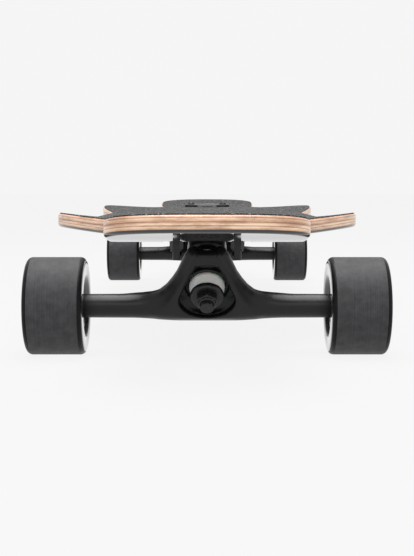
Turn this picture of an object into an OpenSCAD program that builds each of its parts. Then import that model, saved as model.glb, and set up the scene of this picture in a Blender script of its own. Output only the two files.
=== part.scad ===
// Drop-through longboard, about 965 mm long, standing on its wheels.
// Frame: origin on the floor under the middle of the board, +Y towards the tail, +Z up.
// The front truck is the one at -Y. Both trucks are the same and face away from each other.

/* [Deck] */
// Overall length of the deck
deck_length = 965; // [955:1:975]
// Thickness of the maple laminate
deck_thickness = 11; // [10:0.5:12]
// Half width at the waist, in the middle of the board
waist_half_w = 104; // [98:1:110]
// Half width across the wing tips, the widest places
wing_half_w = 123; // [118:1:124]
// Half width of the neck that passes between the wheels
neck_half_w = 54; // [50:1:56]
// Half width of the nose and tail paddles
paddle_half_w = 63.5; // [60:1:70]
// Height of the standing platform's top above the floor, along the middle
platform_z = 89.5; // [89:0.5:90.5]
// Height of the neck's flat top, where the truck flanges sit
neck_z = 95.2; // [94.8:0.1:95.6]
// Height of the top at the nose and tail tips
tip_z = 102.7; // [100:0.1:105]
// How far the wing tips rise above the middle
wing_rise = 7.3; // [4:0.1:9]
// How far the waist's rails rise above the middle
waist_rise = 3; // [1:0.1:5]
// Thickness of the grip tape
grip_thickness = 0.8; // [0.5:0.1:1.2]

/* [Trucks] */
// Distance from axle to axle
wheelbase = 670; // [666:1:674]
// Width of the hanger, between the faces that the wheels run against
hanger_width = 180; // [178:1:182]
// Radius of the hanger's round arms
arm_r = 8.5; // [7.5:0.5:8.5]
// Angle between the steering axis and the floor
steer_angle = 36.87; // [36:0.01:38]
// Angle between the kingpin and the floor
kingpin_angle = 38; // [37:0.5:39]
// Bolt spacing across the board
bolt_spacing_x = 41.3; // [41.3]
// Bolt spacing along the board
bolt_spacing_y = 53.8; // [53.8]

/* [Wheels] */
// Diameter of the wheels
wheel_d = 70; // [69:1:71]
// Width of the wheels
wheel_w = 42; // [40:1:44]
// Radius of the wheels' rounded shoulders
shoulder_r = 4; // [3:0.5:5]

/* [Hidden] */
$fn = 64;
eps = 0.01;

half_length = deck_length / 2;
half_base = wheelbase / 2;
wheel_r = wheel_d / 2;

// Deck outline: |y| and half width, joined by S-curves
neck_y = 340;
tip_start_y = half_length - 32.5;
outline = [
    [90, waist_half_w], [205, wing_half_w], [neck_y, neck_half_w], [435, paddle_half_w]
];
// Height of the deck's top along the middle, and the extra height of its rails
camber = [[145, platform_z], [305, neck_z], [405, neck_z], [half_length + 20, tip_z + 2.2]];
rail_rise = [[90, waist_rise], [205, wing_rise], [305, 0]];
tip_roundness = 2.6;
rail_power = 2.5;
strips = 8;
body_step = 20;
tip_steps = 7;

// Truck cutout in the deck: a slot between the bolts that opens wider at its outer end
slot_half_w = 15.7;
slot_y0 = 300;
slot_y1 = 425;
mouth_half_w = 29;
mouth_y0 = 392;
pattern_y = half_base + 20;
bolt_r = 2.5;
bolt_hole_r = 2.8;
flange_t = 4;
flange_half_w = 29;
flange_y0 = 318;
flange_y1 = 391;
tongue_half_w = 9;
tongue_y1 = 408;
flange_top_z = neck_z + flange_t;
neck_bottom_z = neck_z - deck_thickness;

// Steering geometry of one truck: y is measured outwards from the axle, z from the floor
ring_y = 8;
ring_z = 55.5;
kingpin_r = 4.75;
ring_hole_r = 7.5;
ring_r = 18;
ring_half_t = 4;
bushing_r = 12.7;
road_bushing_h = 15;
board_bushing_h = 14;
washer_t = 2;
kingpin_nut_h = 7;
kingpin_tip = 3;
seat_z = ring_half_t + board_bushing_h + washer_t;
boss_r = bushing_r + 1.5;
boss_h = 14;
axle_r = 4;
axle_half = 124;

// Pivot at the inboard end of the steering axis, as distances back along it from the ring
pivot_r = 4.5;
pivot_cup_r = 6.4;
pivot_housing_r = 8;
pivot_start = 32.5;
pivot_end = 44.5;
stem_r = 6.5;

// Front face of the hanger: leans outwards from its lower edge
face_y = 15;
face_z = 26;
face_lean = 20;
frame_depth = 18;
fairing_depth = [8, 16];

// Wheel stack along the axle, measured from the middle of the truck
hanger_end = hanger_width / 2;
speed_washer_t = 1;
bearing_w = 7;
bearing_r = 11;
spacer_w = 10;
bearing_x0 = hanger_end + speed_washer_t;
bearing_x1 = bearing_x0 + bearing_w + spacer_w;
bearing_end = bearing_x1 + bearing_w;
wheel_x0 = 86.6;
core_r = 20;
core_x0 = bearing_x0;
core_x1 = bearing_end + 3;

// ---------- shared functions and placements ----------

function smooth(t) = t * t * (3 - 2 * t);

// Value at v on S-curves through [place, value] pairs, level outside them
function s_curve(pairs, v, i = 0) =
    v <= pairs[0][0] ? pairs[0][1]
    : i >= len(pairs) - 1 ? pairs[len(pairs) - 1][1]
    : v > pairs[i + 1][0] ? s_curve(pairs, v, i + 1)
    : pairs[i][1] + (pairs[i + 1][1] - pairs[i][1])
      * smooth((v - pairs[i][0]) / (pairs[i + 1][0] - pairs[i][0]));

function half_width(y) =
    let (t = max(0, (abs(y) - tip_start_y) / (half_length - tip_start_y)))
    s_curve(outline, abs(y)) * pow(max(0, 1 - t * t), 1 / tip_roundness);

function deck_top(x, y, w) =
    s_curve(camber, abs(y)) + s_curve(rail_rise, abs(y)) * pow(min(1, abs(x) / max(w, 1)), rail_power);

// Stations along the deck, closer together round the tips
half_stations = concat(
    [for (y = [0 : body_step : tip_start_y - 5]) y],
    [for (i = [0 : tip_steps]) tip_start_y + (half_length - tip_start_y) * sin(88 * i / tip_steps)]
);
stations = concat(
    [for (i = [len(half_stations) - 1 : -1 : 1]) -half_stations[i]],
    half_stations
);

// A sheet that follows the deck's top from height lift_0 to lift_1 above it, inset from its edge
module deck_sheet(lift_0, lift_1, inset) {
    n = strips + 1;
    rows = len(stations);
    points = [
        for (lift = [lift_0, lift_1])
            for (s = stations)
                let (
                    y = s * (half_length - inset) / half_length,
                    w = half_width(s),
                    v = max(w - inset, 2)
                )
                for (i = [0 : strips])
                    let (x = v * (2 * i / strips - 1))
                    [x, y, deck_top(x, y, w) + lift]
    ];
    top = rows * n;
    faces = concat(
        [for (r = [0 : rows - 2]) for (i = [0 : strips - 1])
            let (p = top + r * n + i) each [[p, p + n, p + n + 1], [p, p + n + 1, p + 1]]],
        [for (r = [0 : rows - 2]) for (i = [0 : strips - 1])
            let (p = r * n + i) each [[p, p + n + 1, p + n], [p, p + 1, p + n + 1]]],
        [for (r = [0 : rows - 2])
            let (p = r * n) each [[p, p + n, top + p + n], [p, top + p + n, top + p]]],
        [for (r = [0 : rows - 2])
            let (p = r * n + strips) each [[p, top + p + n, p + n], [p, top + p, top + p + n]]],
        [for (i = [0 : strips - 1])
            each [[i, top + i, top + i + 1], [i, top + i + 1, i + 1]]],
        [for (i = [0 : strips - 1])
            let (p = (rows - 1) * n + i) each [[p, top + p + 1, top + p], [p, p + 1, top + p + 1]]]
    );
    polyhedron(points, faces, convexity = 6);
}

// One truck's own frame: x across, y outwards from the axle, z up from the floor
module rear() {
    translate([0, half_base, 0])
        children();
}

module front() {
    translate([0, -half_base, 0])
        rotate([0, 0, 180])
            children();
}

module both_trucks() {
    front() children();
    rear() children();
}

// Kingpin frame: its z runs up the kingpin from the ring's middle towards the head
module kingpin_frame() {
    translate([0, ring_y, ring_z])
        rotate([90 - kingpin_angle, 0, 0])
            children();
}

// Pivot frame: its z runs down the steering axis from the ring's middle towards the pivot
module pivot_frame() {
    translate([0, ring_y, ring_z])
        rotate([90 + steer_angle, 0, 0])
            children();
}

// Face frame: its y runs up the hanger's front face, its z back into the hanger
module face_frame() {
    translate([0, face_y, face_z])
        rotate([90 - face_lean, 0, 0])
            children();
}

// A solid of revolution round the axle, drawn with x as distance along it; side is 1 or -1
module on_axle(side) {
    translate([0, 0, wheel_r])
        rotate([0, side * 90, 0])
            children();
}

module ring(r_in, r_out, x0, x1) {
    translate([0, 0, x0])
        difference() {
            cylinder(r = r_out, h = x1 - x0);
            translate([0, 0, -1])
                cylinder(r = r_in, h = x1 - x0 + 2);
        }
}

module at_bolts() {
    for (sx = [-1, 1])
        for (sy = [-1, 1])
            translate([sx * bolt_spacing_x / 2, pattern_y - half_base + sy * bolt_spacing_y / 2, 0])
                children();
}

// A box given by its two corners
module span_box(a, b) {
    translate(a)
        cube(b - a);
}

// ---------- deck ----------

// Cuts through the deck for one truck, in that truck's frame
module truck_cut(clearance) {
    z0 = platform_z - 30;
    z1 = platform_z + 30;
    slot = slot_half_w + clearance;
    mouth = mouth_half_w + clearance;
    span_box([-slot, slot_y0 - half_base, z0], [slot, slot_y1 - half_base, z1]);
    span_box([-mouth, mouth_y0 - half_base, z0], [mouth, slot_y1 - half_base, z1]);
}

module deck() {
    color("burlywood")
        difference() {
            deck_sheet(-deck_thickness, 0, 0);
            both_trucks() {
                truck_cut(0);
                at_bolts()
                    translate([0, 0, platform_z - 30])
                        cylinder(r = bolt_hole_r, h = 60);
            }
        }
}

module grip_tape() {
    gap = 0.5;
    glue = 0.1;
    color([0.16, 0.16, 0.17])
        difference() {
            deck_sheet(glue, grip_thickness, 1.5);
            both_trucks() {
                truck_cut(gap);
                span_box(
                    [-flange_half_w - gap, flange_y0 - half_base - gap, platform_z - 30],
                    [flange_half_w + gap, flange_y1 - half_base + gap + 1, platform_z + 30]
                );
            }
        }
}

// ---------- truck: fixed pieces ----------

// Side outline of the wedge that hangs below the flange and of the arm to the pivot, as [y, z]
wedge = [
    [-33.5, neck_z + 1], [7, neck_z + 1], [4.5, 86], [-19.5, 57.5], [-26, 47], [-22.1, 39.4],
    [-30.1, 34.2], [-40, 42], [-46, 60], [-43, 73], [-33.5, 80]
];
trunk_half_w = 13;
arm_half_w = 9;
arm_top_z = 60;

// The wedge's outline between two heights, as wide as half_w to each side
module wedge_slab(half_w, z0, z1) {
    intersection() {
        translate([-half_w, 0, 0])
            rotate([90, 0, 90])
                linear_extrude(2 * half_w)
                    polygon(wedge);
        span_box([-half_w - 1, -60, z0], [half_w + 1, 60, z1]);
    }
}

module baseplate() {
    color([0.07, 0.07, 0.075])
        difference() {
            union() {
                span_box(
                    [-flange_half_w, flange_y0 - half_base, neck_z],
                    [flange_half_w, flange_y1 - half_base, flange_top_z]
                );
                span_box(
                    [-tongue_half_w, flange_y1 - half_base - 1, neck_z],
                    [tongue_half_w, tongue_y1 - half_base, flange_top_z]
                );
                wedge_slab(trunk_half_w, arm_top_z, neck_z + 2);
                wedge_slab(arm_half_w, 0, arm_top_z + 1);
                kingpin_frame()
                    translate([0, 0, seat_z])
                        cylinder(r = boss_r, h = boss_h);
                pivot_frame()
                    translate([0, 0, pivot_start])
                        cylinder(r = pivot_housing_r, h = pivot_end - pivot_start);
            }
            at_bolts()
                translate([0, 0, neck_z - 1])
                    cylinder(r = bolt_hole_r, h = flange_t + 2);
            kingpin_frame() {
                translate([0, 0, seat_z - 5])
                    cylinder(r = kingpin_r + 0.05, h = 60);
                // Pocket for the kingpin's head
                translate([0, 0, seat_z + boss_h])
                    cylinder(r = 9, h = 60);
            }
            pivot_frame()
                translate([0, 0, pivot_start - 10])
                    cylinder(r = pivot_cup_r, h = pivot_end - pivot_start + 8);
        }
}

module pivot_cup() {
    cup_h = pivot_end - pivot_start - 2;
    color([0.85, 0.84, 0.8])
        pivot_frame()
            translate([0, 0, pivot_start])
                difference() {
                    cylinder(r = pivot_cup_r, h = cup_h);
                    translate([0, 0, -1])
                        cylinder(r = pivot_r + 0.05, h = cup_h);
                }
}

module kingpin() {
    tip = -(ring_half_t + road_bushing_h + washer_t + kingpin_nut_h + kingpin_tip);
    color([0.12, 0.12, 0.125])
        kingpin_frame() {
            translate([0, 0, tip])
                cylinder(r = kingpin_r, h = seat_z + boss_h - tip + 1);
            translate([0, 0, seat_z + boss_h])
                cylinder(r = 8, h = 5.5, $fn = 6);
        }
}

module kingpin_nut() {
    z0 = -(ring_half_t + road_bushing_h + washer_t + kingpin_nut_h);
    color([0.1, 0.1, 0.105])
        kingpin_frame()
            difference() {
                union() {
                    translate([0, 0, z0 + 2])
                        cylinder(r = 8, h = kingpin_nut_h - 2, $fn = 6);
                    translate([0, 0, z0])
                        cylinder(r = 6.4, h = 3);
                }
                translate([0, 0, z0 - 1])
                    cylinder(r = kingpin_r, h = kingpin_nut_h + 2);
            }
}

// A dished washer: a disc with a raised rim, opening towards +z
module cup_washer(r) {
    rotate_extrude()
        polygon([
            [kingpin_r + 0.3, 0], [r - 1.5, 0], [r, 1.5], [r, 4], [r - 1, 4],
            [r - 1, washer_t], [kingpin_r + 0.3, washer_t]
        ]);
}

module cup_washers() {
    road_z = -(ring_half_t + road_bushing_h + washer_t);
    color([0.08, 0.08, 0.085])
        kingpin_frame() {
            translate([0, 0, road_z])
                cup_washer(11.8);
            translate([0, 0, seat_z])
                mirror([0, 0, 1])
                    cup_washer(bushing_r + 1.3);
        }
}

module board_bushing() {
    color([0.9, 0.9, 0.88])
        kingpin_frame()
            translate([0, 0, ring_half_t])
                rotate_extrude()
                    polygon([
                        [kingpin_r + 0.1, 0], [bushing_r - 1, 0], [bushing_r, 1.5],
                        [bushing_r, board_bushing_h - 1.5], [bushing_r - 1, board_bushing_h],
                        [kingpin_r + 0.1, board_bushing_h]
                    ]);
}

module road_bushing() {
    color([0.9, 0.9, 0.88])
        kingpin_frame()
            translate([0, 0, -ring_half_t])
                mirror([0, 0, 1])
                    rotate_extrude()
                        polygon([
                            [kingpin_r + 0.1, 0], [bushing_r - 1, 0], [bushing_r, 1.5],
                            [bushing_r, 5], [10.3, road_bushing_h - 1], [9.5, road_bushing_h],
                            [kingpin_r + 0.1, road_bushing_h]
                        ]);
}

module mounting_bolts() {
    head_h = 2.2;
    bolt_length = flange_top_z - 70.7;
    color([0.08, 0.08, 0.085])
        at_bolts()
            translate([0, 0, flange_top_z - bolt_length])
                difference() {
                    union() {
                        cylinder(r = bolt_r, h = bolt_length + 1);
                        translate([0, 0, bolt_length])
                            rotate_extrude()
                                polygon([[0, 0], [4.5, 0], [4.3, 1.2], [3.2, head_h], [0, head_h]]);
                    }
                    translate([0, 0, bolt_length + 0.6])
                        cylinder(r = 1.7, h = head_h, $fn = 6);
                }
}

module mounting_nuts() {
    washer_h = 1;
    nut_h = 5;
    color([0.08, 0.08, 0.085])
        at_bolts()
            translate([0, 0, neck_bottom_z])
                mirror([0, 0, 1])
                    difference() {
                        union() {
                            cylinder(r = 5.2, h = washer_h);
                            translate([0, 0, washer_h])
                                cylinder(r = 4.6, h = nut_h, $fn = 6);
                            translate([0, 0, washer_h + nut_h - 1])
                                cylinder(r = 3.7, h = 2.5);
                        }
                        translate([0, 0, -1])
                            cylinder(r = bolt_r, h = 12);
                    }
}

// ---------- truck: pieces that steer ----------

// Heights above the floor, turned into distances up the front face at a depth behind it
function up_face(z, depth) = (z - face_z - depth * sin(face_lean)) / cos(face_lean);

// Upper edge of the fairing between arm and frame: an arc in the view from the front
fairing_x = 64;
fairing_r = 46;
fairing_z = 89;
fairing_mid = (fairing_depth[0] + fairing_depth[1]) / 2;
fairing_half = concat(
    [for (angle = [24 : 11 : 90]) [
        fairing_x - fairing_r * cos(angle),
        up_face(fairing_z - fairing_r * sin(angle), fairing_mid)
    ]],
    [[fairing_x, up_face(34, fairing_mid)], [34, up_face(27, fairing_mid)]]
);

// Raised frame round the bushing, narrow at its top
frame_half = [
    [9, up_face(74, 0)], [17.4, up_face(62, 0)], [23.6, up_face(49.5, 0)],
    [28, up_face(41, 0)], [29, up_face(33, 0)], [24, 0]
];

// The hollow in front of the ring, as heights above the floor: wide and round below
pocket_x = 20;
pocket_z = 40.3;
pocket_half_h = 12;
pocket_half = concat(
    [[7.5, 66], [14, 55.5]],
    [for (angle = [0 : 15 : 90]) [pocket_x * cos(angle), pocket_z - pocket_half_h * sin(angle)]]
);

// A polygon from its right half, listed from top to bottom
module mirrored(half) {
    n = len(half);
    polygon(concat(half, [for (i = [n - 1 : -1 : 0]) if (half[i][0] > eps) [-half[i][0], half[i][1]]]));
}

module hanger_pocket() {
    intersection() {
        translate([0, face_y + 40, 0])
            rotate([90, 0, 0])
                linear_extrude(80)
                    mirrored(pocket_half);
        kingpin_frame()
            span_box([-40, -60, -80], [40, 60, -ring_half_t]);
    }
}

module hanger() {
    color([0.07, 0.07, 0.075])
        difference() {
            union() {
                on_axle(1)
                    translate([0, 0, -hanger_end])
                        cylinder(r = arm_r, h = hanger_width);
                face_frame() {
                    linear_extrude(frame_depth)
                        mirrored(frame_half);
                    translate([0, 0, fairing_depth[0]])
                        linear_extrude(fairing_depth[1] - fairing_depth[0])
                            mirrored(fairing_half);
                }
                kingpin_frame()
                    translate([0, 0, -ring_half_t])
                        cylinder(r = ring_r, h = 2 * ring_half_t);
                pivot_frame() {
                    translate([0, 0, ring_r - 4])
                        cylinder(r = stem_r, h = pivot_start - ring_r + 3);
                    translate([0, 0, ring_r])
                        cylinder(r = pivot_r, h = pivot_end - 4 - ring_r);
                }
            }
            hanger_pocket();
            kingpin_frame()
                translate([0, 0, -10])
                    cylinder(r = ring_hole_r, h = 20);
            // Room for the board-side bushing
            kingpin_frame()
                translate([0, 0, ring_half_t])
                    cylinder(r = bushing_r + 0.3, h = board_bushing_h);
            on_axle(1)
                translate([0, 0, -hanger_end - 1])
                    cylinder(r = axle_r + 0.02, h = hanger_width + 2);
        }
}

module axle() {
    color("silver")
        on_axle(1)
            translate([0, 0, -axle_half])
                cylinder(r = axle_r, h = 2 * axle_half);
}

module axle_nuts() {
    color([0.55, 0.55, 0.57])
        for (side = [-1, 1])
            on_axle(side) {
                translate([0, 0, bearing_end + speed_washer_t])
                    difference() {
                        union() {
                            cylinder(r = 7.4, h = 5, $fn = 6);
                            cylinder(r = 5.8, h = 6.5);
                        }
                        translate([0, 0, -1])
                            cylinder(r = axle_r, h = 9);
                    }
            }
}

module speed_washers() {
    color("silver")
        for (side = [-1, 1])
            on_axle(side)
                for (x0 = [hanger_end, bearing_end])
                    ring(axle_r, 6, x0, x0 + speed_washer_t);
}

// ---------- wheels ----------

function arc(x, y, r, a0, a1, n = 5) =
    [for (i = [0 : n]) [x + r * cos(a0 + (a1 - a0) * i / n), y + r * sin(a0 + (a1 - a0) * i / n)]];

// The urethane tyre, drawn as [radius, distance along the axle]
module tyre(side) {
    x0 = wheel_x0;
    x1 = wheel_x0 + wheel_w;
    s = shoulder_r;
    profile = concat(
        [[core_r, core_x0 - 1], [core_r + 1.5, x0 + 0.8]],
        arc(wheel_r - s, x0 + s, s, -90, 0),
        arc(wheel_r - s, x1 - s, s, 0, 90),
        [[core_r + 5, x1 - 0.8], [core_r, core_x1 + 1]]
    );
    color([0.13, 0.13, 0.135])
        on_axle(side)
            rotate_extrude()
                polygon(profile);
}

module core(side) {
    color([0.05, 0.05, 0.055])
        on_axle(side)
            difference() {
                ring(9, core_r, core_x0 - 1, core_x1 + 1);
                translate([0, 0, core_x0 - 2])
                    cylinder(r = bearing_r, h = 2 + bearing_w);
                translate([0, 0, bearing_x1])
                    cylinder(r = bearing_r, h = 20);
            }
}

module bearing_outers(side) {
    color([0.7, 0.7, 0.72])
        on_axle(side)
            for (x0 = [bearing_x0, bearing_x1])
                difference() {
                    ring(6.4, bearing_r, x0, x0 + bearing_w);
                    ring(6.3, 9.2, x0 + 1, x0 + bearing_w - 1);
                }
}

module bearing_inners(side) {
    color([0.7, 0.7, 0.72])
        on_axle(side)
            for (x0 = [bearing_x0, bearing_x1])
                ring(axle_r, 6, x0, x0 + bearing_w);
}

module spacer(side) {
    color("silver")
        on_axle(side)
            ring(axle_r, 5.4, bearing_x0 + bearing_w, bearing_x1);
}

// ---------- nodes ----------

deck();
grip_tape();

front() baseplate();  // front_baseplate
front() pivot_cup();  // front_pivot_cup
front() kingpin();  // front_kingpin
front() kingpin_nut();  // front_kingpin_nut
front() cup_washers();  // front_cup_washers
front() board_bushing();  // front_board_bushing
front() road_bushing();  // front_road_bushing
front() hanger();  // front_hanger
front() axle();  // front_axle
front() axle_nuts();  // front_axle_nuts
front() speed_washers();  // front_speed_washers
front() mounting_bolts();  // front_mounting_bolts
front() mounting_nuts();  // front_mounting_nuts

rear() baseplate();  // rear_baseplate
rear() pivot_cup();  // rear_pivot_cup
rear() kingpin();  // rear_kingpin
rear() kingpin_nut();  // rear_kingpin_nut
rear() cup_washers();  // rear_cup_washers
rear() board_bushing();  // rear_board_bushing
rear() road_bushing();  // rear_road_bushing
rear() hanger();  // rear_hanger
rear() axle();  // rear_axle
rear() axle_nuts();  // rear_axle_nuts
rear() speed_washers();  // rear_speed_washers
rear() mounting_bolts();  // rear_mounting_bolts
rear() mounting_nuts();  // rear_mounting_nuts

front() tyre(1);  // front_right_tyre
front() core(1);  // front_right_core
front() bearing_outers(1);  // front_right_bearing_outers
front() bearing_inners(1);  // front_right_bearing_inners
front() spacer(1);  // front_right_spacer

front() tyre(-1);  // front_left_tyre
front() core(-1);  // front_left_core
front() bearing_outers(-1);  // front_left_bearing_outers
front() bearing_inners(-1);  // front_left_bearing_inners
front() spacer(-1);  // front_left_spacer

rear() tyre(-1);  // rear_right_tyre
rear() core(-1);  // rear_right_core
rear() bearing_outers(-1);  // rear_right_bearing_outers
rear() bearing_inners(-1);  // rear_right_bearing_inners
rear() spacer(-1);  // rear_right_spacer

rear() tyre(1);  // rear_left_tyre
rear() core(1);  // rear_left_core
rear() bearing_outers(1);  // rear_left_bearing_outers
rear() bearing_inners(1);  // rear_left_bearing_inners
rear() spacer(1);  // rear_left_spacer
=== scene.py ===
import math

import bmesh
import bpy
import numpy as np
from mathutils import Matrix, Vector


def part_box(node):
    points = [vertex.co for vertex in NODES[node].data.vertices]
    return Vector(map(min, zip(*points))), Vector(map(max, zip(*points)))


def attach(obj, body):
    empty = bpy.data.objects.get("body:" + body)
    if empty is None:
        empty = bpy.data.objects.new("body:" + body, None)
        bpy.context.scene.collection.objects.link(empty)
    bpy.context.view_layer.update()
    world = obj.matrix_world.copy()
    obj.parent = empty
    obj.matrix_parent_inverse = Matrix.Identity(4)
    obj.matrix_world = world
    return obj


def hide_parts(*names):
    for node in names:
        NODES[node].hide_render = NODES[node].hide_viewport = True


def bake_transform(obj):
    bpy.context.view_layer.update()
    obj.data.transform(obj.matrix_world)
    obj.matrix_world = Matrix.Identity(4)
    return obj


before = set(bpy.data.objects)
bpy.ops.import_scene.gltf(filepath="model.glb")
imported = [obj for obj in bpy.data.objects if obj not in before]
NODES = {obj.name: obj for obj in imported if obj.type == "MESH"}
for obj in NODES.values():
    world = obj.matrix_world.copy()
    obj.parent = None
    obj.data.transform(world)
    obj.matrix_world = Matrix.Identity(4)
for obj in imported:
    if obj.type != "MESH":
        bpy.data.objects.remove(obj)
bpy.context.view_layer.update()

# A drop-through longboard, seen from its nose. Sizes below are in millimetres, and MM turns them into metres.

import openvdb
from mathutils import Matrix, Vector

MM = 0.001

# ---------- sizes that the frame fixes ----------

HALF_BASE = 335.0
WHEEL_R = 35.0
DECK_T = 11.0
HALF_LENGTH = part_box("deck")[1].y / MM
NECK_Z = 95.2
PLATFORM_Z = 89.5
TIP_Z = 102.7
GRIP_T = 0.8
FLANGE_T = 4.0
BOLT_X = 20.65
PATTERN_Y = 355.0
BOLT_PITCH_Y = 26.9
TRUCKS = ("front", "rear")
SIDES = ("right", "left")

RING_Y, RING_Z = 8.0, 55.5
KINGPIN_ANGLE = math.radians(38.0)
STEER = (0.8, 0.6)
HANGER_END = 90.0
AXLE_R = 4.0
WHEEL_X0, WHEEL_W = 86.6, 42.0


# ---------- curves shared with the deck's plan and profile ----------

def s_curve(v, pairs):
    """Values at v on S-curves through (place, value) pairs, level outside them."""
    places = np.array([p[0] for p in pairs], float)
    values = np.array([p[1] for p in pairs], float)
    i = np.clip(np.searchsorted(places, v) - 1, 0, len(places) - 2)
    t = np.clip((v - places[i]) / (places[i + 1] - places[i]), 0, 1)
    return values[i] + (values[i + 1] - values[i]) * t * t * (3 - 2 * t)


TIP_START = HALF_LENGTH - 32.5
OUTLINE = [(90, 104), (205, 123), (340, 54), (435, 63.5)]
CAMBER = [(145, PLATFORM_Z), (305, NECK_Z), (405, NECK_Z), (HALF_LENGTH + 20, TIP_Z + 2.2)]
RAIL_RISE = [(90, 3), (205, 7.3), (305, 0)]
TIP_POWER = 2.6
RAIL_POWER = 2.5


def half_width(y):
    """Half the deck's width at this place along it."""
    t = np.clip((np.abs(y) - TIP_START) / (HALF_LENGTH - TIP_START), 0, 1)
    return s_curve(np.abs(y), OUTLINE) * (1 - t * t) ** (1 / TIP_POWER)


def deck_top(x, y):
    """Height of the deck's upper face."""
    across = np.clip(np.abs(x) / np.maximum(half_width(y), 1), 0, 1)
    return s_curve(np.abs(y), CAMBER) + s_curve(np.abs(y), RAIL_RISE) * across ** RAIL_POWER


# ---------- mesh helpers ----------

def new_object(name, verts_mm, faces, smooth=True):
    mesh = bpy.data.meshes.new(name)
    mesh.from_pydata((np.asarray(verts_mm, float) * MM).tolist(), [], faces)
    mesh.update()
    obj = bpy.data.objects.new(name, mesh)
    bpy.context.scene.collection.objects.link(obj)
    if smooth:
        mesh.shade_smooth()
    return obj


def apply_modifiers(obj):
    """Turns the object's modifiers into plain mesh."""
    depsgraph = bpy.context.evaluated_depsgraph_get()
    mesh = bpy.data.meshes.new_from_object(obj.evaluated_get(depsgraph))
    obj.modifiers.clear()
    obj.data = mesh
    return obj


def coords_mm(obj):
    co = np.empty(len(obj.data.vertices) * 3, np.float32)
    obj.data.vertices.foreach_get("co", co)
    return co.reshape(-1, 3).astype(float) / MM


def clean(obj, distance_mm=0.001):
    bm = bmesh.new()
    bm.from_mesh(obj.data)
    bmesh.ops.remove_doubles(bm, verts=bm.verts, dist=distance_mm * MM)
    bmesh.ops.recalc_face_normals(bm, faces=bm.faces)
    bm.to_mesh(obj.data)
    bm.free()
    return obj


def shade_by_angle(obj, degrees=35):
    """Smooth shading with sharp edges where faces meet at more than this angle."""
    obj.data.shade_smooth()
    bm = bmesh.new()
    bm.from_mesh(obj.data)
    limit = math.radians(degrees)
    for edge in bm.edges:
        edge.smooth = len(edge.link_faces) == 2 and edge.calc_face_angle(0) < limit
    bm.to_mesh(obj.data)
    bm.free()
    return obj


def lathe(name, profile, segments=96):
    """A closed (radius, height) profile turned round Z, in millimetres. Returns an object with smooth sides."""
    n = len(profile)
    verts, faces = [], []
    for k in range(segments):
        a = 2 * math.pi * k / segments
        verts += [(r * math.cos(a), r * math.sin(a), h) for r, h in profile]
    for k in range(segments):
        b, c = k * n, (k + 1) % segments * n
        faces += [(b + i, c + i, c + (i + 1) % n, b + (i + 1) % n) for i in range(n)]
    return clean(new_object(name, verts, faces))


def arc(cx, cy, r, a0, a1, steps=6):
    """Points of a round corner, from angle a0 to a1 in degrees."""
    angles = np.radians(np.linspace(a0, a1, steps + 1))
    return [(cx + r * math.cos(a), cy + r * math.sin(a)) for a in angles]


# ---------- placing truck pieces ----------

def truck_matrix(truck):
    """One truck's own frame (x across, y outwards, z up, millimetres) to the board's frame."""
    sign = 1 if truck == "rear" else -1
    turn = Matrix.Identity(4) if sign > 0 else Matrix.Rotation(math.pi, 4, "Z")
    return Matrix.Translation((0, sign * HALF_BASE * MM, 0)) @ turn


def kingpin_matrix(truck):
    """Z runs up the kingpin towards its head, from the middle of the hanger's ring."""
    tilt = math.pi / 2 - KINGPIN_ANGLE
    local = Matrix.Translation((0, RING_Y * MM, RING_Z * MM)) @ Matrix.Rotation(tilt, 4, "X")
    return truck_matrix(truck) @ local


def axle_matrix(truck, side):
    """Z runs outwards along the axle, from the middle of the truck."""
    sign = 1 if truck == "rear" else -1
    turn = Matrix.Rotation((-1 if side == "right" else 1) * math.pi / 2, 4, "Y")
    return Matrix.Translation((0, sign * HALF_BASE * MM, WHEEL_R * MM)) @ turn


def put(obj, matrix, body, *nodes):
    """Moves a piece to its place, hangs it on its body and hides the nodes that it stands for."""
    obj.data.transform(matrix)
    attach(obj, body)
    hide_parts(*nodes)
    return obj


# ---------- cast shapes: distance fields with soft joins ----------

def soft_union(a, b, k):
    """a and b joined, with a fillet about k wide."""
    h = np.clip(0.5 + 0.5 * (b - a) / k, 0, 1)
    return b + (a - b) * h - k * h * (1 - h)


def soft_cut(a, b, k):
    """a with b taken away."""
    return -soft_union(-a, b, k)


def soft_overlap(a, b, k):
    """What a and b share."""
    return -soft_union(-a, -b, k)


def rounded_box(p, low, high, r):
    centre = (np.array(low) + np.array(high)) / 2
    half = (np.array(high) - np.array(low)) / 2 - r
    q = [np.abs(p[i] - centre[i]) - half[i] for i in range(3)]
    outside = np.sqrt(sum(np.maximum(c, 0) ** 2 for c in q))
    return outside + np.minimum(np.maximum(np.maximum(q[0], q[1]), q[2]), 0) - r


def rod(p, start, end, r, edge=0.0):
    """A flat-ended cylinder between two points, with its rims rounded by edge."""
    a, b = np.array(start, float), np.array(end, float)
    length = np.linalg.norm(b - a)
    d = (b - a) / length
    rel = [p[i] - a[i] for i in range(3)]
    along = sum(rel[i] * d[i] for i in range(3))
    out = np.sqrt(np.maximum(sum(c * c for c in rel) - along ** 2, 0)) - r + edge
    ends = np.abs(along - length / 2) - length / 2 + edge
    return np.sqrt(np.maximum(out, 0) ** 2 + np.maximum(ends, 0) ** 2) + np.minimum(np.maximum(out, ends), 0) - edge


def polygon_distance(u, v, points):
    """Signed distance in the plane to a closed polygon, negative inside."""
    best = np.full(u.shape, 1e9)
    inside = np.zeros(u.shape, bool)
    for (x0, y0), (x1, y1) in zip(points, points[1:] + points[:1]):
        ex, ey = x1 - x0, y1 - y0
        t = np.clip(((u - x0) * ex + (v - y0) * ey) / (ex * ex + ey * ey), 0, 1)
        best = np.minimum(best, (u - x0 - t * ex) ** 2 + (v - y0 - t * ey) ** 2)
        if ey != 0:
            crosses = ((y0 > v) != (y1 > v)) & (u < x0 + ex * (v - y0) / ey)
            inside ^= crosses
    return np.where(inside, -np.sqrt(best), np.sqrt(best))


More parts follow.
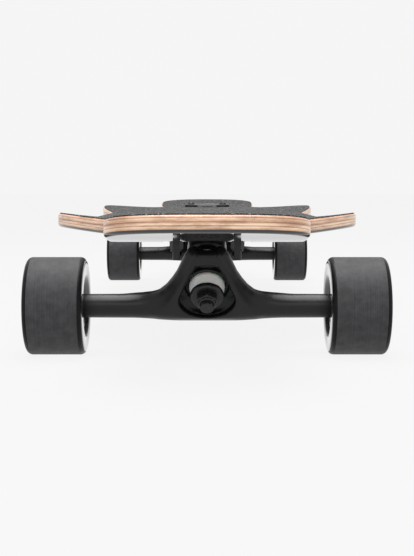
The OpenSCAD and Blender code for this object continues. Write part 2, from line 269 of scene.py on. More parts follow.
def slab(flat, depth, d0, d1, edge):
    """A flat outline given thickness from d0 to d1, with its edges rounded."""
    out = flat + edge
    ends = np.abs(depth - (d0 + d1) / 2) - (d1 - d0) / 2 + edge
    return np.sqrt(np.maximum(out, 0) ** 2 + np.maximum(ends, 0) ** 2) + np.minimum(np.maximum(out, ends), 0) - edge


def mirrored(half):
    """A closed outline from its right half, listed from top to bottom."""
    return list(half) + [(-x, y) for x, y in reversed(half) if x > 0]


def cast(name, low, high, pitch, distance):
    """Meshes a distance field over a box, at this grid pitch in millimetres."""
    axes = [np.arange(low[i], high[i] + pitch, pitch) for i in range(3)]
    field = distance(np.meshgrid(*axes, indexing="ij")).astype(np.float32)
    grid = openvdb.FloatGrid(3 * pitch)
    grid.copyFromArray(np.clip(field, -3 * pitch, 3 * pitch))
    points, triangles, quads = grid.convertToPolygons(isovalue=0.0, adaptivity=0.0)
    verts = points * pitch + np.array(low)
    faces = [tuple(f[::-1]) for f in quads.tolist()] + [tuple(f[::-1]) for f in triangles.tolist()]
    return clean(new_object(name, verts, faces))


def turned(y, z, angle):
    """Coordinates along and across a line that leans outwards by angle from upright."""
    up = y * math.sin(angle) + z * math.cos(angle)
    back = -y * math.cos(angle) + z * math.sin(angle)
    return up, back


# ---------- materials ----------

def material(name):
    mat = bpy.data.materials.new(name)
    mat.use_nodes = True
    nodes, links = mat.node_tree.nodes, mat.node_tree.links
    shader = nodes["Principled BSDF"]
    return mat, nodes, links, shader


def add(nodes, kind, **settings):
    node = nodes.new(kind)
    for key, value in settings.items():
        if key in node.inputs.keys():
            node.inputs[key].default_value = value
        else:
            setattr(node, key, value)
    return node


def placed(nodes, links, scale):
    """Object coordinates stretched by scale."""
    where = nodes.new("ShaderNodeTexCoord")
    mapping = add(nodes, "ShaderNodeMapping")
    mapping.inputs["Scale"].default_value = scale
    links.new(where.outputs["Object"], mapping.inputs["Vector"])
    return mapping.outputs["Vector"]


def noise(nodes, links, vector, scale, detail=4.0, roughness=0.6):
    node = add(nodes, "ShaderNodeTexNoise", Scale=scale, Detail=detail, Roughness=roughness)
    links.new(vector, node.inputs["Vector"])
    return node.outputs["Fac"]


def ramp(nodes, links, value, stops):
    """Colours by value; stops are (place, colour)."""
    node = nodes.new("ShaderNodeValToRGB")
    points = node.color_ramp.elements
    while len(points) < len(stops):
        points.new(0.5)
    for point, (place, colour) in zip(points, stops):
        point.position = place
        point.color = (*colour, 1)
    links.new(value, node.inputs["Fac"])
    return node.outputs["Color"]


def grey(v):
    return (v, v, v)


def mix(nodes, links, factor, a, b):
    node = nodes.new("ShaderNodeMix")
    node.data_type = "RGBA"
    links.new(factor, node.inputs["Factor"])
    for value, socket in ((a, node.inputs[6]), (b, node.inputs[7])):
        if isinstance(value, tuple):
            socket.default_value = (*value, 1)
        else:
            links.new(value, socket)
    return node.outputs[2]


def math_node(nodes, links, operation, a, b=0.0):
    node = nodes.new("ShaderNodeMath")
    node.operation = operation
    for value, socket in ((a, node.inputs[0]), (b, node.inputs[1])):
        if isinstance(value, (int, float)):
            socket.default_value = value
        else:
            links.new(value, socket)
    return node.outputs[0]


def bump(nodes, links, shader, height, distance, strength=1.0):
    node = add(nodes, "ShaderNodeBump", Strength=strength, Distance=distance)
    links.new(height, node.inputs["Height"])
    links.new(node.outputs["Normal"], shader.inputs["Normal"])


def cast_black():
    """Satin black powder coat over a casting: very fine orange peel."""
    mat, nodes, links, shader = material("black_powder_coat")
    where = placed(nodes, links, (1, 1, 1))
    fine = noise(nodes, links, where, 1400, 3)
    broad = noise(nodes, links, where, 60, 3)
    links.new(ramp(nodes, links, broad, [(0.3, grey(0.005)), (0.7, grey(0.008))]), shader.inputs["Base Color"])
    links.new(ramp(nodes, links, broad, [(0.3, grey(0.30)), (0.7, grey(0.37))]), shader.inputs["Roughness"])
    shader.inputs["Specular IOR Level"].default_value = 0.3
    bump(nodes, links, shader, fine, 0.00004, 0.5)
    return mat


def black_steel():
    """Black zinc-plated fasteners with a slight sheen and worn grain."""
    mat, nodes, links, shader = material("black_zinc_steel")
    where = placed(nodes, links, (1, 1, 1))
    grain = noise(nodes, links, where, 900, 5)
    links.new(ramp(nodes, links, grain, [(0.35, grey(0.012)), (0.75, grey(0.035))]), shader.inputs["Base Color"])
    links.new(ramp(nodes, links, grain, [(0.3, grey(0.24)), (0.7, grey(0.4))]), shader.inputs["Roughness"])
    shader.inputs["Metallic"].default_value = 0.6
    bump(nodes, links, shader, grain, 0.00003, 0.4)
    return mat


def bright_steel():
    """Zinc-plated or ground steel with fine turning marks."""
    mat, nodes, links, shader = material("bright_zinc_steel")
    where = placed(nodes, links, (6, 1, 1))
    grain = noise(nodes, links, where, 700, 4)
    links.new(ramp(nodes, links, grain, [(0.3, (0.40, 0.41, 0.42)), (0.7, (0.58, 0.58, 0.59))]),
              shader.inputs["Base Color"])
    links.new(ramp(nodes, links, grain, [(0.3, grey(0.2)), (0.7, grey(0.34))]), shader.inputs["Roughness"])
    shader.inputs["Metallic"].default_value = 1.0
    bump(nodes, links, shader, grain, 0.00002, 0.4)
    return mat


def white_urethane(name, colour, darker):
    """Cast urethane: cloudy, slightly see-through, smooth."""
    mat, nodes, links, shader = material(name)
    where = placed(nodes, links, (1, 1, 1))
    cloud = noise(nodes, links, where, 90, 3)
    links.new(ramp(nodes, links, cloud, [(0.3, darker), (0.7, colour)]), shader.inputs["Base Color"])
    links.new(ramp(nodes, links, cloud, [(0.3, grey(0.36)), (0.7, grey(0.48))]), shader.inputs["Roughness"])
    shader.inputs["Subsurface Weight"].default_value = 0.25
    shader.inputs["Subsurface Scale"].default_value = 0.004
    bump(nodes, links, shader, noise(nodes, links, where, 500, 2), 0.00003, 0.4)
    return mat


def tread_urethane():
    """Lathe-cut tread: fine rings round the wheel, a little uneven."""
    mat, nodes, links, shader = material("urethane_tread")
    rings = noise(nodes, links, placed(nodes, links, (1, 0, 0)), 900, 6, 0.75)
    dust = noise(nodes, links, placed(nodes, links, (1, 1, 1)), 160, 5)
    shade = math_node(nodes, links, "ADD", math_node(nodes, links, "MULTIPLY", rings, 0.6),
                      math_node(nodes, links, "MULTIPLY", dust, 0.4))
    links.new(ramp(nodes, links, shade, [(0.35, (0.012, 0.012, 0.013)), (0.65, (0.050, 0.050, 0.054))]),
              shader.inputs["Base Color"])
    links.new(ramp(nodes, links, rings, [(0.3, grey(0.5)), (0.7, grey(0.66))]), shader.inputs["Roughness"])
    shader.inputs["Specular IOR Level"].default_value = 0.3
    bump(nodes, links, shader, rings, 0.0002, 0.8)
    return mat


def face_urethane():
    """Side faces and lips of the wheel: moulded glossy black."""
    mat, nodes, links, shader = material("urethane_face")
    where = placed(nodes, links, (1, 1, 1))
    cloud = noise(nodes, links, where, 45, 3)
    links.new(ramp(nodes, links, cloud, [(0.3, grey(0.009)), (0.7, grey(0.014))]), shader.inputs["Base Color"])
    links.new(ramp(nodes, links, cloud, [(0.3, grey(0.1)), (0.7, grey(0.15))]), shader.inputs["Roughness"])
    shader.inputs["Coat Weight"].default_value = 1.0
    shader.inputs["Coat Roughness"].default_value = 0.05
    shader.inputs["Coat IOR"].default_value = 1.6
    return mat


def shoulder_urethane():
    """The rounded shoulders beside the tread: moulded, duller than the side faces."""
    mat, nodes, links, shader = material("urethane_shoulder")
    where = placed(nodes, links, (1, 1, 1))
    cloud = noise(nodes, links, where, 220, 4)
    links.new(ramp(nodes, links, cloud, [(0.3, grey(0.003)), (0.7, grey(0.007))]), shader.inputs["Base Color"])
    links.new(ramp(nodes, links, cloud, [(0.3, grey(0.3)), (0.7, grey(0.42))]), shader.inputs["Roughness"])
    shader.inputs["Specular IOR Level"].default_value = 0.12
    bump(nodes, links, shader, cloud, 0.00003, 0.4)
    return mat


def core_nylon():
    """Glass-filled nylon hub: black, with a faint mottle."""
    mat, nodes, links, shader = material("core_nylon")
    where = placed(nodes, links, (1, 1, 1))
    mottle = noise(nodes, links, where, 700, 5)
    links.new(ramp(nodes, links, mottle, [(0.3, grey(0.010)), (0.7, grey(0.022))]), shader.inputs["Base Color"])
    links.new(ramp(nodes, links, mottle, [(0.3, grey(0.35)), (0.7, grey(0.5))]), shader.inputs["Roughness"])
    bump(nodes, links, shader, mottle, 0.00003, 0.5)
    return mat


def grip_grit():
    """Coarse silicon-carbide grip tape."""
    mat, nodes, links, shader = material("grip_grit")
    where = placed(nodes, links, (1, 1, 1))
    cells = add(nodes, "ShaderNodeTexVoronoi", Scale=1500.0)
    links.new(where, cells.inputs["Vector"])
    grit = cells.outputs["Distance"]
    wear = noise(nodes, links, where, 14, 5)
    sparkle = noise(nodes, links, where, 620, 2)
    base = ramp(nodes, links, wear, [(0.35, grey(0.020)), (0.7, grey(0.030))])
    bright = ramp(nodes, links, sparkle, [(0.54, grey(0.0)), (0.68, grey(1.0))])
    links.new(mix(nodes, links, bright, base, (0.22, 0.22, 0.23)), shader.inputs["Base Color"])
    shader.inputs["Roughness"].default_value = 0.85
    shader.inputs["Specular IOR Level"].default_value = 0.35
    bump(nodes, links, shader, grit, 0.0004, 0.8)
    return mat


def deck_wood():
    """Laminated maple: plies by depth below the top, long grain, and black lacquer from the lower edge down."""
    mat, nodes, links, shader = material("maple_laminate")
    depth = add(nodes, "ShaderNodeAttribute", attribute_name="depth").outputs["Fac"]
    grain_at = placed(nodes, links, (1, 0.22, 5))
    long_grain = noise(nodes, links, grain_at, 55, 8, 0.62)
    streaks = noise(nodes, links, placed(nodes, links, (6, 6, 420)), 5, 6, 0.7)
    # Depth wanders a little along the edge, as ply thickness does
    wander = math_node(nodes, links, "MULTIPLY", math_node(nodes, links, "SUBTRACT", streaks, 0.5), 0.9)
    ply = math_node(nodes, links, "ADD", depth, wander)
    share = math_node(nodes, links, "DIVIDE", ply, DECK_T)
    plies = ramp(nodes, links, share, [
        (0.00, (0.50, 0.27, 0.16)), (0.12, (0.62, 0.37, 0.24)), (0.16, (0.26, 0.125, 0.07)),
        (0.20, (0.80, 0.58, 0.42)), (0.35, (0.62, 0.36, 0.22)), (0.40, (0.27, 0.13, 0.07)),
        (0.45, (0.66, 0.40, 0.26)), (0.55, (0.86, 0.65, 0.48)), (0.61, (0.36, 0.18, 0.10)),
        (0.66, (0.82, 0.60, 0.43)), (0.80, (0.56, 0.32, 0.19))])
    tint = ramp(nodes, links, long_grain, [(0.38, (0.55, 0.45, 0.38)), (0.56, (1.0, 1.0, 1.0))])
    wood = nodes.new("ShaderNodeMix")
    wood.data_type = "RGBA"
    wood.blend_type = "MULTIPLY"
    wood.inputs["Factor"].default_value = 0.85
    links.new(plies, wood.inputs[6])
    links.new(tint, wood.inputs[7])
    lacquer_edge = math_node(nodes, links, "ADD", depth, math_node(nodes, links, "MULTIPLY", wander, 0.25))
    painted = ramp(nodes, links, math_node(nodes, links, "DIVIDE", lacquer_edge, DECK_T),
                   [(0.800, grey(0.0)), (0.818, grey(1.0))])
    links.new(mix(nodes, links, painted, wood.outputs[2], (0.010, 0.010, 0.011)), shader.inputs["Base Color"])
    links.new(mix(nodes, links, painted, grey(0.42), grey(0.05)), shader.inputs["Roughness"])
    shader.inputs["Coat Weight"].default_value = 0.6
    shader.inputs["Coat Roughness"].default_value = 0.04
    bump(nodes, links, shader, streaks, 0.00008, 0.35)
    return mat


MATERIALS = {
    "casting": cast_black(),
    "black_steel": black_steel(),
    "bright_steel": bright_steel(),
    "bushing": white_urethane("white_bushing_urethane", (0.80, 0.80, 0.78), (0.70, 0.70, 0.68)),
    "pivot": white_urethane("white_pivot_urethane", (0.62, 0.61, 0.56), (0.52, 0.51, 0.47)),
    "tread": tread_urethane(),
    "face": face_urethane(),
    "shoulder": shoulder_urethane(),
    "core": core_nylon(),
    "grip": grip_grit(),
    "wood": deck_wood(),
}


def finish(obj, *keys):
    """Gives a piece its materials, in slot order."""
    obj.data.materials.clear()
    for key in keys:
        obj.data.materials.append(MATERIALS[key])
    return obj


# ---------- deck and grip tape ----------

EDGE_R = 2.2
PLAN_STEP = 4.0
ACROSS = 36


def plan_half(inset):
    """The outline's right half from nose to tail, moved inwards along its normals."""
    phi = np.radians(np.linspace(90, 0, 30))
    tip_y = TIP_START + (HALF_LENGTH - TIP_START) * np.sin(phi)
    tip_x = s_curve(tip_y, OUTLINE) * np.cos(phi) ** (2 / TIP_POWER)
    steps = int(2 * TIP_START / PLAN_STEP)
    body_y = np.linspace(-TIP_START, TIP_START, steps)[1:-1]
    x = np.concatenate([tip_x, half_width(body_y), tip_x[::-1]])
    y = np.concatenate([-tip_y, body_y, tip_y[::-1]])
    dx, dy = np.gradient(x), np.gradient(y)
    dx[0], dy[0], dx[-1], dy[-1] = 1, 0, -1, 0
    length = np.hypot(dx, dy)
    return np.maximum(x - inset * dy / length, 0), y + inset * dx / length


def sheet_mesh(name, levels):
    """A closed sheet on the deck's form. levels are (inset, height above the deck's top) from the upper face,
    down its edge, to the lower face."""
    loops = []
    for inset, lift in levels:
        x, y = plan_half(inset)
        loops.append(np.stack([x, y, deck_top(x, y) + lift], axis=1))
    rows = len(loops[0])
    columns = np.linspace(-1, 1, ACROSS + 1)

    def spread(loop, lift):
        x, y = loop[:, 0][:, None] * columns[None, :], np.repeat(loop[:, 1][:, None], ACROSS + 1, 1)
        return np.stack([x, y, deck_top(x, y) + lift], axis=2).reshape(-1, 3)

    upper, lower = spread(loops[0], levels[0][1]), spread(loops[-1], levels[-1][1])
    verts = np.concatenate([upper, lower])
    n = ACROSS + 1
    offset = rows * n
    faces = []
    for r in range(rows - 1):
        for i in range(ACROSS):
            p = r * n + i
            faces.append((p, p + 1, p + n + 1, p + n))
            faces.append((offset + p, offset + p + n, offset + p + n + 1, offset + p + 1))
    extra = []
    for side, column in ((1, ACROSS), (-1, 0)):
        rims = [[r * n + column for r in range(rows)]]
        for loop in loops[1:-1]:
            start = len(verts) + len(extra)
            extra += [(side * x, y, z) for x, y, z in loop]
            rims.append(list(range(start, start + rows)))
        rims.append([offset + r * n + column for r in range(rows)])
        for a, b in zip(rims, rims[1:]):
            for r in range(rows - 1):
                quad = (a[r], b[r], b[r + 1], a[r + 1])
                faces.append(quad if side > 0 else quad[::-1])
    if extra:
        verts = np.concatenate([verts, np.array(extra)])
    return clean(new_object(name, verts, faces), 0.01)


def rounded_cutter(x0, x1, y0, y1, r, steps=6):
    """An upright prism with round corners, through the whole deck."""
    corners = [(x1 - r, y1 - r, 0), (x0 + r, y1 - r, 90), (x0 + r, y0 + r, 180), (x1 - r, y0 + r, 270)]
    ring = [p for cx, cy, a in corners for p in arc(cx, cy, r, a, a + 90, steps)]
    n = len(ring)
    verts = [(x, y, z) for z in (60, 130) for x, y in ring]
    faces = [tuple(range(n))[::-1], tuple(range(n, 2 * n))]
    faces += [(i, (i + 1) % n, n + (i + 1) % n, n + i) for i in range(n)]
    return clean(new_object("cutter", verts, faces, smooth=False))


def cut_trucks(obj, grow, boxes, hole_r=None):
    """Takes boxes and bolt holes out of a deck sheet at both trucks. Boxes are (half width, |y| low, |y| high, r)."""
    cutters = []
    for sign in (-1, 1):
        for half, y0, y1, r in boxes:
            low, high = sorted((sign * (y0 - grow), sign * (y1 + grow)))
            cutters.append(rounded_cutter(-half - grow, half + grow, low, high, r))
        if hole_r:
            for sx in (-1, 1):
                for sy in (-1, 1):
                    x, y = sx * BOLT_X, sign * (PATTERN_Y + sy * BOLT_PITCH_Y)
                    cutters.append(rounded_cutter(x - hole_r, x + hole_r, y - hole_r, y + hole_r, hole_r * 0.999, 8))
    for cutter in cutters:
        modifier = obj.modifiers.new("cut", "BOOLEAN")
        modifier.operation = "DIFFERENCE"
        modifier.solver = "EXACT"
        modifier.object = cutter
        apply_modifiers(obj)
        bpy.data.objects.remove(cutter)
    return obj


def build_deck():
    arc_steps = np.radians(np.linspace(0, 90, 6))
    levels = [(EDGE_R * (1 - math.sin(a)), -EDGE_R * (1 - math.cos(a))) for a in arc_steps]
    side = [(0.0, -EDGE_R - (DECK_T - 2 * EDGE_R) * i / 4) for i in range(1, 4)]
    lower = [(inset, -DECK_T - lift) for inset, lift in levels[::-1]]
    deck = sheet_mesh("deck_laminate", levels + side + lower)
    cut_trucks(deck, 0, [(15.7, 300, 425, 4), (29, 392, 425, 5)], 2.8)
    co = coords_mm(deck)
    depth = deck.data.attributes.new("depth", "FLOAT", "POINT")
    depth.data.foreach_set("value", (deck_top(co[:, 0], co[:, 1]) - co[:, 2]).astype(np.float32))
    finish(shade_by_angle(deck, 40), "wood")
    put(deck, Matrix.Identity(4), "deck", "deck")


def build_grip():
    rim = 0.35
    levels = [(1.5 + rim, GRIP_T), (1.5, GRIP_T - rim), (1.5, 0.02)]
    grip = sheet_mesh("grip_sheet", levels)
    cut_trucks(grip, 0.5, [(15.7, 300, 425, 4), (29, 318, 425, 5)])
    finish(shade_by_angle(grip, 40), "grip")
    put(grip, Matrix.Identity(4), "deck", "grip_tape")


# ---------- trucks ----------

FACE_Y, FACE_Z = 15.0, 26.0
FACE_LEAN = math.radians(20)
FRAME_DEPTH = 18.0


def up_face(z, depth):
    """How far up the hanger's leaning face this height lies, at a depth behind it."""
    return (z - FACE_Z - depth * math.sin(FACE_LEAN)) / math.cos(FACE_LEAN)


def along_kingpin(distance):
    """A point in the truck's frame, this far up the kingpin from the middle of the ring."""
    return (0, RING_Y - distance * math.cos(KINGPIN_ANGLE), RING_Z + distance * math.sin(KINGPIN_ANGLE))


def down_steering(distance):
    """A point this far down the steering axis from the middle of the ring."""
    return (0, RING_Y - distance * STEER[0], RING_Z - distance * STEER[1])


# Right halves of outlines seen from the front, as (x, z): the fairing's rim, the raised face and the bushing's pocket
GULL_RIM = [(12.6, 77.4), (15.4, 73.6), (18.2, 67.4), (21.2, 61), (24.8, 56), (29, 51.2), (34, 47.3),
            (39.6, 44.6), (46, 42.6), (54, 41), (62, 38)]
RAISED_FACE = [(7.6, 73.4), (10.4, 67.5), (14.4, 60.5), (19.2, 52.3), (23.6, 45), (28, 39), (33, 34), (38, 30)]
POCKET = [(7.6, 64.8), (12, 58.6)] + [(20 * math.cos(a), 40.3 - 12 * math.sin(a)) for a in
                                      np.radians(np.arange(-20, 91, 10))]


def sweep_back(x, start, length, amount):
    """How far a face falls back towards the sides."""
    t = np.clip((np.abs(x) - start) / length, 0, 1)
    return amount * t * t * (3 - 2 * t)


def hanger_distance(p):
    """The hanger in its truck's frame: arms, fairing, raised face, ring and pivot pin, less the pocket and bores."""
    x, y, z = p
    up, back = turned(y - FACE_Y, z - FACE_Z, FACE_LEAN)
    arms = np.maximum(np.hypot(y, z - WHEEL_R) - 8.9 + 0.4 * np.abs(x) / HANGER_END, np.abs(x) - HANGER_END)
    # The fairing swings back to run into the arms
    rim = [(px, up_face(pz, 11 + sweep_back(px, 20, 36, 8.5))) for px, pz in GULL_RIM]
    outline = mirrored(rim + [(62, up_face(34, 19.5)), (50, up_face(31, 18)), (34, up_face(28, 14)),
                              (20, up_face(26.6, 11))])
    fairing = slab(polygon_distance(x, up, outline), back - sweep_back(x, 20, 36, 8.5), 5.5, 16, 4.6)
    body = soft_union(arms, fairing, 6)
    face = mirrored([(px, up_face(pz, sweep_back(px, 14, 26, 7))) for px, pz in RAISED_FACE] + [(34, 0.5)])
    raised = slab(polygon_distance(x, up, face), back - sweep_back(x, 14, 26, 7), 0, FRAME_DEPTH - 2, 3.4)
    body = soft_union(body, raised, 7)
    ring = rod(p, along_kingpin(-4), along_kingpin(4), 18, 1)
    lip = rod(p, along_kingpin(-9), along_kingpin(0), 15.6, 1.2)
    body = soft_union(body, np.minimum(ring, lip), 3)
    body = soft_union(body, rod(p, down_steering(14), down_steering(34), 6.5, 1.5), 4)
    # The pocket stops at the ring, and goes round its lip and the axle's sleeve
    kingpin_up = -(y - RING_Y) * math.cos(KINGPIN_ANGLE) + (z - RING_Z) * math.sin(KINGPIN_ANGLE)
    pocket = soft_cut(polygon_distance(x, z, mirrored(POCKET)), -kingpin_up - 4, 3)
    pocket = np.maximum(pocket, back - 12)
    pocket = soft_cut(pocket, np.hypot(y, z - WHEEL_R) - 7, 3)
    pocket = np.maximum(pocket, -lip)
    body = soft_cut(body, pocket, 2.0)
    body = np.maximum(body, -rod(p, along_kingpin(-30), along_kingpin(-4), 13.1))
    body = np.maximum(body, -rod(p, along_kingpin(-12), along_kingpin(12), 7.5))
    body = np.maximum(body, -rod(p, along_kingpin(4), along_kingpin(20), 13.1))
    body = np.maximum(body, -rod(p, (-HANGER_END - 5, 0, WHEEL_R), (HANGER_END + 5, 0, WHEEL_R), AXLE_R + 0.05))
    # A shallow rounded notch in the top of the frame
    body = soft_cut(body, np.hypot(x, z - 87.6) - 11.8, 1.5)
    return np.minimum(body, rod(p, down_steering(16), down_steering(40.5), 4.5, 1.2))


WEDGE = [(-33.5, 97), (7, 97), (4.5, 86), (-19.5, 57.5), (-26, 47), (-22.1, 39.4),
         (-30.1, 34.2), (-40, 42), (-46, 60), (-43, 73), (-33.5, 80)]


def baseplate_distance(p):
    """The baseplate in its truck's frame: flange, tongue, wedge, kingpin boss and pivot housing, less the bores."""
    x, y, z = p
    flange = rounded_box(p, (-29, 318 - HALF_BASE, NECK_Z), (29, 391 - HALF_BASE, NECK_Z + FLANGE_T), 0.9)
    corner = np.hypot(np.maximum(np.abs(x) - 23, 0), np.maximum(np.abs(y - 19.5) - 30.5, 0)) - 6
    flange = soft_overlap(flange, corner, 0.8)
    tongue = rounded_box(p, (-9, 385 - HALF_BASE, NECK_Z), (9, 408 - HALF_BASE, NECK_Z + FLANGE_T), 0.9)
    side = polygon_distance(y, z, WEDGE)
    narrow = 13 - 4 * np.clip((70 - z) / 14, 0, 1)
    wedge = slab(side, x, -narrow, narrow, 2)
    boss = rod(p, along_kingpin(20), along_kingpin(34), 14.2, 1)
    housing = rod(p, down_steering(32.5), down_steering(44.5), 8, 1)
    body = soft_union(flange, tongue, 2)
    body = soft_union(body, wedge, 2.5)
    body = soft_union(body, boss, 2.5)
    body = soft_union(body, housing, 2.5)
    body = np.maximum(body, z - NECK_Z - FLANGE_T)
    body = np.maximum(body, -rod(p, along_kingpin(15), along_kingpin(75), 4.85))
    body = np.maximum(body, -rod(p, along_kingpin(34), along_kingpin(94), 9))
    body = np.maximum(body, -rod(p, down_steering(22), down_steering(42.5), 6.45))
    for sx in (-1, 1):
        for sy in (-1, 1):
            at = (sx * BOLT_X, PATTERN_Y - HALF_BASE + sy * BOLT_PITCH_Y)
            body = np.maximum(body, -rod(p, (*at, 90), (*at, 105), 2.8))
    return body


def nut_distance(p):
    """A nylon-insert nut along z from 0 (seat) to -7, with its round collar at the far end."""
    x, y, z = p
    hexagon = np.maximum(np.abs(x) * 0.5 + np.abs(y) * 0.8660254, np.abs(x)) - 6.93
    cone = np.hypot(x, y) - 7.7 + np.maximum(-z - 4.6, 0) * 1.6 + np.maximum(z + 0.4, 0) * 1.6
    body = soft_overlap(np.maximum(hexagon, cone), np.abs(z + 2.5) - 2.5, 0.3)
    collar = rod(p, (0, 0, -7), (0, 0, -3), 6.35, 1.3)
    body = soft_union(body, collar, 0.4)
    return np.maximum(body, -rod(p, (0, 0, -9), (0, 0, 2), 4.8))


def cup_profile(r):
    """A dished washer with a rolled rim, opening upwards."""
    return [(5.1, 0), (r - 2.2, 0)] + arc(r - 1.5, 1.5, 1.5, -80, 0) + [(r, 3.5)] \
        + arc(r - 0.5, 3.5, 0.5, 0, 180, 4) + [(r - 1, 2.4), (r - 1.6, 2.0), (5.1, 2.0)]


def barrel_profile():
    """The board-side bushing, from its ring end at 0."""
    return [(4.9, 0)] + arc(11.4, 1.3, 1.3, -90, 0) + [(12.7, 7)] + arc(11.4, 12.7, 1.3, 0, 90) + [(4.9, 14)]


def cone_profile():
    """The road-side bushing, from its ring end at 0 down to -15."""
    return [(4.9, 0), (11.3, 0)] + arc(11.2, -1.5, 1.5, 80, 0) + [(12.7, -5.2)] \
        + arc(9.7, -5.6, 3.0, 0, -28) + [(10.5, -13.2)] + arc(9.4, -13.9, 1.1, 0, -90) + [(4.9, -15)]


def join(name, parts):
    """One mesh from several (object, matrix) pairs."""
    bm = bmesh.new()
    for obj, matrix in parts:
        mesh = obj.data.copy()
        mesh.transform(matrix)
        bm.from_mesh(mesh)
        bpy.data.meshes.remove(mesh)
    mesh = bpy.data.meshes.new(name)
    bm.to_mesh(mesh)
    bm.free()
    joined = bpy.data.objects.new(name, mesh)
    bpy.context.scene.collection.objects.link(joined)
    return joined


def copy_of(obj, name):
    twin = bpy.data.objects.new(name, obj.data.copy())
    bpy.context.scene.collection.objects.link(twin)
    return twin


def build_trucks():
    fine = 0.9
    hanger = cast("hanger_cast", (-95, -34, 18), (95, 46, 86), fine, hanger_distance)
    baseplate = cast("baseplate_cast", (-34, -52, 17), (34, 78, 104), fine * 0.85, baseplate_distance)
    nut = cast("kingpin_nut_shape", (-9, -9, -9), (9, 9, 2), 0.3, nut_distance)
    road_washer = lathe("road_washer", cup_profile(11.8))
    board_washer = lathe("board_washer", [(r, -z) for r, z in cup_profile(14.0)][::-1])
    barrel = lathe("barrel", barrel_profile())
    cone = lathe("cone", cone_profile())
    for shape in (hanger, baseplate, nut):
        shape.data.shade_smooth()
    for truck in TRUCKS:
        place, up = truck_matrix(truck), kingpin_matrix(truck)
        body = f"{truck}_truck"
        piece = finish(copy_of(hanger, f"{truck}_hanger_casting"), "casting")
        put(piece, place, body, f"{truck}_hanger")
        piece = finish(copy_of(baseplate, f"{truck}_baseplate_casting"), "casting")
        put(piece, place, "deck", f"{truck}_baseplate")

        down = Matrix.Translation((0, 0, -21 * MM))
        piece = finish(copy_of(nut, f"{truck}_lock_nut"), "black_steel")
        put(piece, up @ down, "deck", f"{truck}_kingpin_nut")
        washers = join(f"{truck}_dished_washers",
                       [(road_washer, down), (board_washer, Matrix.Translation((0, 0, 20 * MM)))])
        put(finish(shade_by_angle(washers), "black_steel"), up, "deck", f"{truck}_cup_washers")

        for shape, label, z_ring, z_far in ((barrel, "board_bushing", 4, 18), (cone, "road_bushing", -4, -19)):
            bush = finish(copy_of(shape, f"{truck}_{label}_urethane"), "bushing")
            bush.data.transform(up @ Matrix.Translation((0, 0, z_ring * MM)))
            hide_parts(f"{truck}_{label}")
            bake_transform(bush)

    for shape in (hanger, baseplate, nut, road_washer, board_washer, barrel, cone):
        bpy.data.objects.remove(shape)


# ---------- wheels ----------

def tyre_profile():
    """(radius, distance out along the axle), closed, for a square-lipped 70 mm wheel."""
    x0, x1 = WHEEL_X0, WHEEL_X0 + WHEEL_W
    r, s = WHEEL_R, 4.0
    inner = [(20.0, 90.0), (20.9, 88.6), (22.0, x0 + 0.5), (23.0, x0)]
    shoulder_in = arc(r - s, x0 + s, s, -90, 0, 10)
    tread = [(r, x) for x in np.linspace(x0 + s, x1 - s, 12)[1:-1]]
    shoulder_out = arc(r - s, x1 - s, s, 0, 90, 10)
    outer = [(26.0, x1), (25.0, x1 - 0.5), (23.2, x1 - 3.5), (20.0, 119.5)]
    return inner + shoulder_in + tread + shoulder_out + outer


def build_wheels():
    profile = tyre_profile()
    tyre = lathe("tyre_shape", profile, 160)
    band_edges = (WHEEL_R - 2.4, WHEEL_R - 0.1)
    for truck in TRUCKS:
        for side in SIDES:
            wheel = f"{truck}_{side}"
            piece = finish(copy_of(tyre, f"{wheel}_urethane"), "face", "shoulder", "tread")
            for polygon in piece.data.polygons:
                c = polygon.center / MM
                polygon.material_index = sum(math.hypot(c.x, c.y) > edge for edge in band_edges)
            piece.data.shade_smooth()
            put(piece, axle_matrix(truck, side), f"{wheel}_wheel", f"{wheel}_tyre")
            finish(NODES[f"{wheel}_core"], "core")
            for part in ("bearing_outers", "bearing_inners", "spacer"):
                finish(NODES[f"{wheel}_{part}"], "bright_steel")
    bpy.data.objects.remove(tyre)


def dress_small_parts():
    """CAD nodes that keep their own shape."""
    for truck in TRUCKS:
        for part in ("kingpin", "mounting_bolts", "mounting_nuts"):
            finish(NODES[f"{truck}_{part}"], "black_steel")
        for part in ("axle", "axle_nuts", "speed_washers"):
            finish(NODES[f"{truck}_{part}"], "bright_steel")
        finish(NODES[f"{truck}_pivot_cup"], "pivot")


# ---------- stage, light and camera ----------

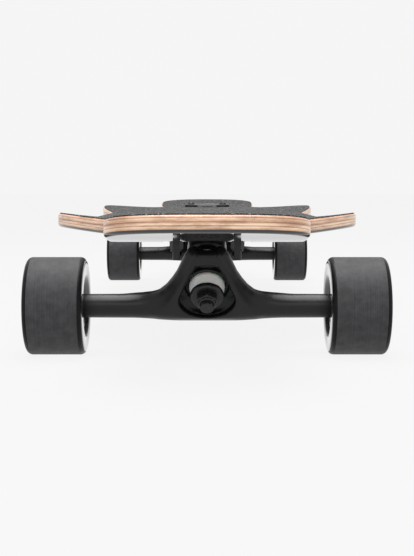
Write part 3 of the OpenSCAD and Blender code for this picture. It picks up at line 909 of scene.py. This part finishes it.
def build_stage():
    floor = new_object("floor", [(-9000, -9000, 0), (9000, -9000, 0), (9000, 30000, 0), (-9000, 30000, 0)],
                       [(0, 1, 2, 3)], smooth=False)
    mat = bpy.data.materials.new("pale_floor")
    mat.use_nodes = True
    nodes, links = mat.node_tree.nodes, mat.node_tree.links
    nodes.clear()
    glow = add(nodes, "ShaderNodeEmission", Color=(0.915, 0.915, 0.915, 1), Strength=0.955)
    paint = add(nodes, "ShaderNodeBsdfDiffuse", Color=(0.03, 0.03, 0.03, 1))
    both = nodes.new("ShaderNodeAddShader")
    out = nodes.new("ShaderNodeOutputMaterial")
    links.new(glow.outputs[0], both.inputs[0])
    links.new(paint.outputs[0], both.inputs[1])
    links.new(both.outputs[0], out.inputs["Surface"])
    floor.data.materials.append(mat)

    world = bpy.data.worlds.new("studio")
    world.use_nodes = True
    backdrop = world.node_tree.nodes["Background"]
    backdrop.inputs["Color"].default_value = (0.915, 0.915, 0.915, 1)
    backdrop.inputs["Strength"].default_value = 1.0
    bpy.context.scene.world = world


def area_light(name, at, towards, size, power):
    light = bpy.data.lights.new(name, "AREA")
    light.shape = "RECTANGLE"
    light.size, light.size_y = size
    light.energy = power
    obj = bpy.data.objects.new(name, light)
    obj.location = at
    obj.rotation_euler = (Vector(towards) - Vector(at)).to_track_quat("-Z", "Y").to_euler()
    bpy.context.scene.collection.objects.link(obj)


def build_lights():
    area_light("overhead", (0, -0.2, 1.6), (0, -0.1, 0), (1.0, 2.0), 42)
    area_light("nose_fill", (0, -2.2, 0.9), (0, -0.4, 0.06), (1.6, 0.8), 6)


CAMERA_AT = (0.0, -1.14616, 0.11816)
CAMERA_PITCH = math.radians(4.454)
LENS, SENSOR = 73.405, 36.0


def build_camera():
    camera = bpy.data.cameras.new("camera")
    camera.sensor_width = SENSOR
    camera.lens = LENS
    camera.clip_start, camera.clip_end = 0.05, 100
    obj = bpy.data.objects.new("camera", camera)
    obj.location = CAMERA_AT
    obj.rotation_euler = (math.pi / 2 - CAMERA_PITCH, 0, 0)
    bpy.context.scene.collection.objects.link(obj)
    bpy.context.scene.camera = obj
    bpy.context.scene.view_settings.view_transform = "Standard"


build_camera()
build_stage()
build_lights()
build_deck()
build_grip()
build_trucks()
build_wheels()
dress_small_parts()
